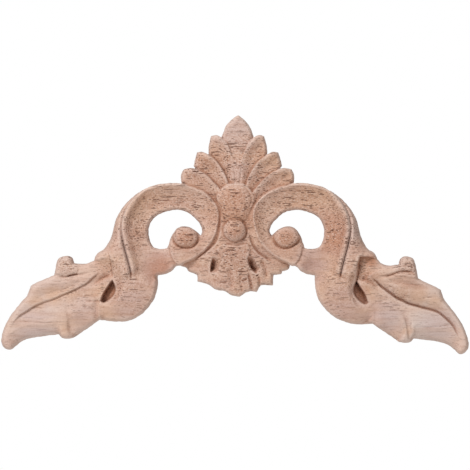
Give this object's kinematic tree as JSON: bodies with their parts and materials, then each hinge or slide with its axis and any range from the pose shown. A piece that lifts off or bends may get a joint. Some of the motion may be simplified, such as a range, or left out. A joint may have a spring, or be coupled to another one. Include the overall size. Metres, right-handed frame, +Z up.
{
  "type": "carved wooden corner onlay",
  "caption": "Carved wood applique: a shell palmette over pierced scrolls, with a leaf spray down each side and a flat back for gluing.",
  "frame": {"origin": "on the flat back, behind the centre of the bead", "axes": "+X to the viewer's right along the width, +Z up, and the carved face looks along -Y, so +Y points into the surface the onlay is glued to"},
  "size_m": [0.1999, 0.0155, 0.1021],
  "materials": {
    "raw_wood": "bare carved wood, unsanded in the hollows, with open pores along the grain"
  },
  "bodies": {
    "root": {"corner_onlay": "raw_wood"}
  },
  "joints": []
}
